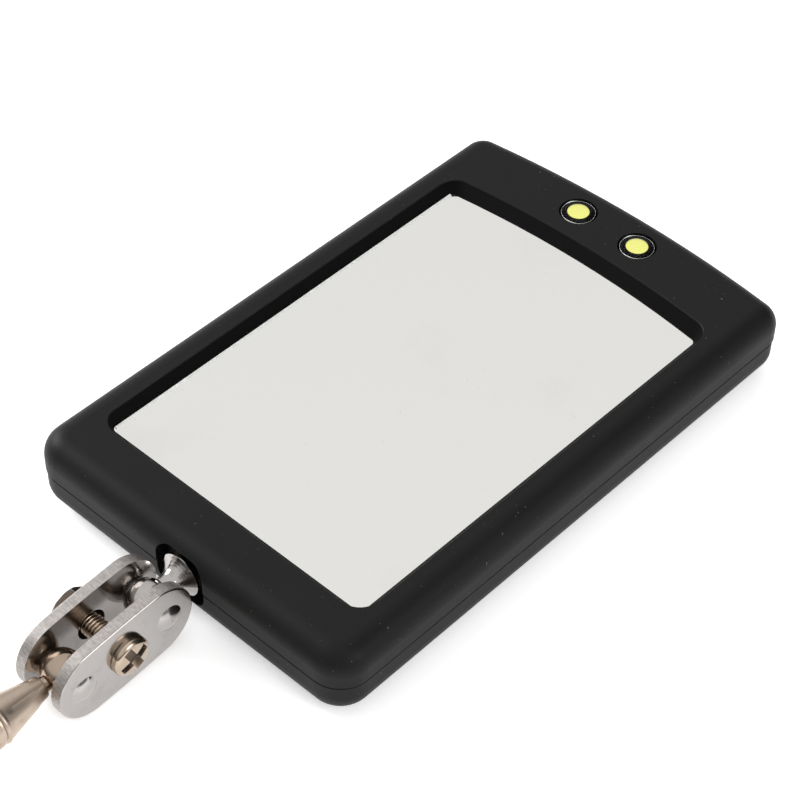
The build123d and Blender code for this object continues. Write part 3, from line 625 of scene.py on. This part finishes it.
def lamp_core(side, name):
    """Silver reflector cup with the phosphor disc in its top, just under the lens's dome."""
    b = bmesh.new()
    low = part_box(name)[0].z / MM
    top = LENS_TOP_Z - CORE_BELOW_DOME
    lip = [(top + rise, CHIP_R + swell) for rise, swell in CUP_LIP]
    skin_rings(b, lamp_rings(side, [(low, CHIP_R)] + lip))
    first_disc_face = len(b.faces)
    skin_rings(b, lamp_rings(side, [(top + rise, CHIP_R + swell) for rise, swell in PHOSPHOR_CROWN]))
    b.faces.ensure_lookup_table()
    for face in b.faces[first_disc_face:]:
        face.material_index = 1
    return piece_from(name + "_cup", b, [CUP_SILVER, PHOSPHOR_PAINTED_GLOW], 40.0)


def lamp_lens(side, name):
    """Clear lamp: flange, straight skirt and a low domed top."""
    b = bmesh.new()
    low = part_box(name)[0].z / MM
    shoulder = LENS_TOP_Z - LENS_DOME_HEIGHT
    dome_r = LENS_R - LENS_SHOULDER
    profile = [(low, LENS_FLANGE_R), (low + LENS_FLANGE_HEIGHT, LENS_FLANGE_R),
               (low + LENS_FLANGE_HEIGHT + 0.1, LENS_FLANGE_R - 0.1),
               (low + LENS_FLANGE_HEIGHT + 0.15, LENS_R + 0.02), (shoulder - 0.1, LENS_R), (shoulder, dome_r)]
    for k in range(1, LENS_DOME_STEPS):
        angle = k / LENS_DOME_STEPS * math.pi / 2
        profile.append((shoulder + LENS_DOME_HEIGHT * math.sin(angle), dome_r * math.cos(angle)))
    skin_rings(b, lamp_rings(side, profile))
    return piece_from(name + "_clear", b, [LENS], 40.0)


def lamp_rim_highlight(side, name):
    """Painted highlight: a thin pale ring at the top of the lamp's skirt, swelling at two places into painted
    glints.
    """
    b = bmesh.new()
    z = LENS_TOP_Z - LENS_DOME_HEIGHT + RIM_RISE
    segments, around = 72, 6
    rings = []
    for k in range(segments):
        angle = FULL_TURN * k / segments
        swell = 1.0
        for place, width, gain in RIM_GLINTS:
            swell += gain * math.exp(-(math.remainder(angle - place, FULL_TURN) / width) ** 2)
        wire = RIM_WIRE_R * swell
        ring = []
        for j in range(around):
            turn = FULL_TURN * j / around
            radius = LENS_R - RIM_INSET + wire * math.cos(turn)
            ring.append((side * LAMP_X + radius * math.cos(angle), LAMP_Y + radius * math.sin(angle),
                         z + wire * math.sin(turn)))
        rings.append(ring)
    rings.append(rings[0])
    skin_rings(b, rings, closed_ends=False)
    return piece_from(name + "_rim", b, [GROUND_GLASS], 60.0)


def mirror_plate():
    """Float glass with ground, bevelled edges: silver on the face that is seen, pale ground rim round it."""
    b = bmesh.new()
    bottom, top = GLASS_TOP_Z - GLASS_THICKNESS, GLASS_TOP_Z
    stations = [(bottom, 0.0), (top - GLASS_BEVEL * 0.6, 0.0), (top, GLASS_BEVEL)]
    rings = [glass_outline(inset, z) for z, inset in stations]
    skin_rings(b, rings)
    b.normal_update()
    for face in b.faces:
        face.material_index = 1 if abs(face.normal.z) < 0.9 else 0
    return piece_from("mirror_plate", b, [GLASS, GROUND_GLASS], 12.0)


def glass_outline(inset, z):
    """Corner-rounded outline of the glass, pulled in by inset."""
    half = GLASS_HALF_WIDTH - inset - GLASS_CORNER_R
    near, far = GLASS_NEAR_Y + inset + GLASS_CORNER_R, GLASS_FAR_Y - inset - GLASS_CORNER_R
    points = []
    for cx, cy, start in ((half, far, 0.0), (-half, far, 0.25), (-half, near, 0.5), (half, near, 0.75)):
        for k in range(9):
            angle = FULL_TURN * (start + 0.25 * k / 8)
            points.append((cx + GLASS_CORNER_R * math.cos(angle), cy + GLASS_CORNER_R * math.sin(angle), z))
    return points


def glass_edge_highlight():
    """Painted highlight: a pale strip laid on the glass along the window wall that faces the light, for the
    bright line where the glass's thickness shows.
    """
    b = bmesh.new()
    outer = EDGE_LINE_GAP - WINDOW_HALF
    rings = []
    for k in range(EDGE_LINE_STEPS + 1):
        y = EDGE_LINE_NEAR_Y + (EDGE_LINE_FAR_Y - EDGE_LINE_NEAR_Y) * k / EDGE_LINE_STEPS
        inner = outer + EDGE_LINE_WIDTH + 0.05 * math.sin(1.7 * k) + 0.03 * math.sin(4.1 * k + 1)
        rings.append([(outer, y, GLASS_TOP_Z - 0.05), (inner, y, GLASS_TOP_Z - 0.05),
                      (inner - 0.08, y, GLASS_TOP_Z + 0.06), (outer, y, GLASS_TOP_Z + EDGE_LINE_HEIGHT)])
    skin_rings(b, rings)
    return piece_from("glass_edge_highlight", b, [GROUND_GLASS], 50.0)


def tree_input(tree, name, kind, value):
    socket = tree.interface.new_socket(name, in_out="INPUT", socket_type=kind)
    socket.default_value = value
    return socket.identifier


def rib_tree():
    """Rows of small bars laid round a turned grip, one row in each groove."""
    tree = bpy.data.node_groups.new("grip_bars", "GeometryNodeTree")
    tree.interface.new_socket("Geometry", in_out="OUTPUT", socket_type="NodeSocketGeometry")
    ids = {name: tree_input(tree, name, kind, value) for name, kind, value in (
        ("Rows", "NodeSocketInt", GRIP_GROOVES), ("Row Pitch", "NodeSocketFloat", GRIP_GROOVE_PITCH * MM),
        ("Bars", "NodeSocketInt", GRIP_BARS), ("Bar Radius", "NodeSocketFloat", GRIP_BAR_R * MM),
        ("Bar Size", "NodeSocketVector", tuple(side * MM for side in GRIP_BAR_SIZE)),
        ("First Row", "NodeSocketVector", (0.0, 0.0, 0.0)), ("Finish", "NodeSocketMaterial", RUBBER))}
    add, link = tree.nodes.new, tree.links.new
    given = add("NodeGroupInput").outputs
    row = add("GeometryNodeMeshLine")
    step = add("ShaderNodeCombineXYZ")
    back = add("ShaderNodeMath")
    back.operation = "MULTIPLY"
    back.inputs[1].default_value = -1.0
    link(given["Row Pitch"], back.inputs[0])
    link(back.outputs[0], step.inputs["Y"])
    link(given["Rows"], row.inputs["Count"])
    link(given["First Row"], row.inputs["Start Location"])
    link(step.outputs[0], row.inputs["Offset"])
    ring = add("GeometryNodeMeshCircle")
    link(given["Bars"], ring.inputs["Vertices"])
    link(given["Bar Radius"], ring.inputs["Radius"])
    stand = add("GeometryNodeTransform")
    stand.inputs["Rotation"].default_value = (math.pi / 2, 0, 0)
    link(ring.outputs[0], stand.inputs["Geometry"])
    bar = add("GeometryNodeMeshCube")
    link(given["Bar Size"], bar.inputs["Size"])
    out_turn = add("FunctionNodeAlignRotationToVector")
    out_turn.axis, out_turn.pivot_axis = "Z", "Y"
    where = add("GeometryNodeInputPosition")
    link(where.outputs[0], out_turn.inputs["Vector"])
    round_ring = add("GeometryNodeInstanceOnPoints")
    link(stand.outputs[0], round_ring.inputs["Points"])
    link(bar.outputs[0], round_ring.inputs["Instance"])
    link(out_turn.outputs[0], round_ring.inputs["Rotation"])
    rows = add("GeometryNodeInstanceOnPoints")
    link(row.outputs[0], rows.inputs["Points"])
    link(round_ring.outputs[0], rows.inputs["Instance"])
    real = add("GeometryNodeRealizeInstances")
    link(rows.outputs[0], real.inputs[0])
    coat = add("GeometryNodeSetMaterial")
    link(real.outputs[0], coat.inputs["Geometry"])
    link(given["Finish"], coat.inputs["Material"])
    link(coat.outputs[0], add("NodeGroupOutput").inputs[0])
    return tree, ids


def grip_bars():
    """Moulded cross bars in the grip's grooves."""
    tree, ids = rib_tree()
    host = bpy.data.objects.new("bar_host", bpy.data.meshes.new("bar_host"))
    bpy.context.scene.collection.objects.link(host)
    made_by = host.modifiers.new("bars", "NODES")
    made_by.node_group = tree
    first_y = ROD_BALL[1] - GRIP_GROOVE_START - GRIP_BAR_SETBACK
    made_by[ids["First Row"]] = (0.0, first_y * MM, ROD_BALL[2] * MM)
    made = settled_copy(host, "grip_cross_bars", 30.0)
    bpy.data.objects.remove(host)
    return made


def place_pieces():
    head, shank = clamp_screw_head(), clamp_screw_shank()
    for part in (head, shank):
        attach(part, "clamp_bolt")
        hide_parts("clamp_screw")
    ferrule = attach(tip_ferrule(), "tip_section")
    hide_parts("tip_ferrule")
    for side, name in ((-1, "lamp_chip_left"), (1, "lamp_chip_right")):
        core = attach(lamp_core(side, name), "head")
        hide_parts(name)
    for side, name in ((-1, "lamp_lens_left"), (1, "lamp_lens_right")):
        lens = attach(lamp_lens(side, name), "head")
        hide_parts(name)
        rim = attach(lamp_rim_highlight(side, name), "head")
    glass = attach(mirror_plate(), "head")
    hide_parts("mirror_glass")
    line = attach(glass_edge_highlight(), "head")
    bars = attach(grip_bars(), "handle")


# ---------------------------------------------------------------- stage, light and camera
def studio_floor():
    b = bmesh.new()
    bmesh.ops.create_grid(b, x_segments=2, y_segments=2, size=FLOOR_HALF_MM)
    f = Finish("paper_floor")
    paper = f.noise(60.0, 3.0)
    colour = f.mix(paper, (0.93, 0.93, 0.93), (0.95, 0.95, 0.95))
    floor = piece_from("paper_floor", b, [f.surface(
        Base_Color=colour, Roughness=0.9, Specular_IOR_Level=0.1,
        Emission_Color=(1.0, 1.0, 1.0, 1.0), Emission_Strength=0.42)])
    floor.data.transform(Matrix.Translation((0, 0, -FLOOR_DROP)))


def soft_light(name, place, aim, size, power):
    data = bpy.data.lights.new(name, "AREA")
    data.shape, data.size, data.energy = "DISK", size, power
    lamp = bpy.data.objects.new(name, data)
    lamp.location = place
    lamp.rotation_mode = "QUATERNION"
    lamp.rotation_quaternion = (Vector(aim) - Vector(place)).to_track_quat("-Z", "Y")
    bpy.context.scene.collection.objects.link(lamp)


def studio_light():
    """Sky that is bright overhead and dim low down, with one dark side, and two soft lamps."""
    world = bpy.data.worlds.new("soft_studio")
    bpy.context.scene.world = world
    world.use_nodes = True
    sky = Graph(world.node_tree)
    toward = sky.node("ShaderNodeTexCoord", {}, {}).out("Generated")
    rise = sky.node("ShaderNodeSeparateXYZ", {}, {0: toward}).out("Z")
    glow = sky.node("ShaderNodeValToRGB", {"stops": SKY_STOPS}, {0: rise})
    match = sky.node("ShaderNodeVectorMath", {"operation": "DOT_PRODUCT"},
                     {0: toward, 1: Vector(DARK_SIDE).normalized()}).out("Value")
    shade = sky.node("ShaderNodeValToRGB", {"stops": DARK_STOPS}, {0: match})
    dimmed = sky.node("ShaderNodeMix", {"data_type": "RGBA", "blend_type": "MULTIPLY"},
                      {"Factor": 1.0, MIX_FIRST: glow, MIX_SECOND: shade})
    light = sky.node("ShaderNodeBackground", {}, {"Color": dimmed.out(MIX_RESULT), "Strength": 1.0})
    sky.node("ShaderNodeOutputWorld", {}, {"Surface": light})
    soft_light("key_light", (-0.8, -0.02, 0.42), STUDIO_MIDDLE, 0.45, 6.5)
    soft_light("fill_light", (0.85, 0.25, 0.5), STUDIO_MIDDLE, 0.6, 3.2)


def place_camera():
    data = bpy.data.cameras.new("camera")
    data.sensor_width = SENSOR_WIDTH
    data.lens = SENSOR_WIDTH / 2 / math.tan(math.radians(CAMERA_ANGLE / 2))
    data.clip_start, data.clip_end = 0.01, 20.0
    camera = bpy.data.objects.new("camera", data)
    right = Vector(CAMERA_RIGHT).normalized()
    back = Vector(CAMERA_BACK).normalized()
    up = back.cross(right).normalized()
    right = up.cross(back)
    turn = Matrix((right, up, back)).transposed()
    camera.matrix_world = Matrix.Translation(Vector(CAMERA_PLACE_MM) * MM) @ turn.to_4x4()
    bpy.context.scene.collection.objects.link(camera)
    bpy.context.scene.camera = camera


dress_frame()
place_pieces()
studio_floor()
studio_light()
place_camera()
bpy.context.scene.view_settings.view_transform = "Standard"
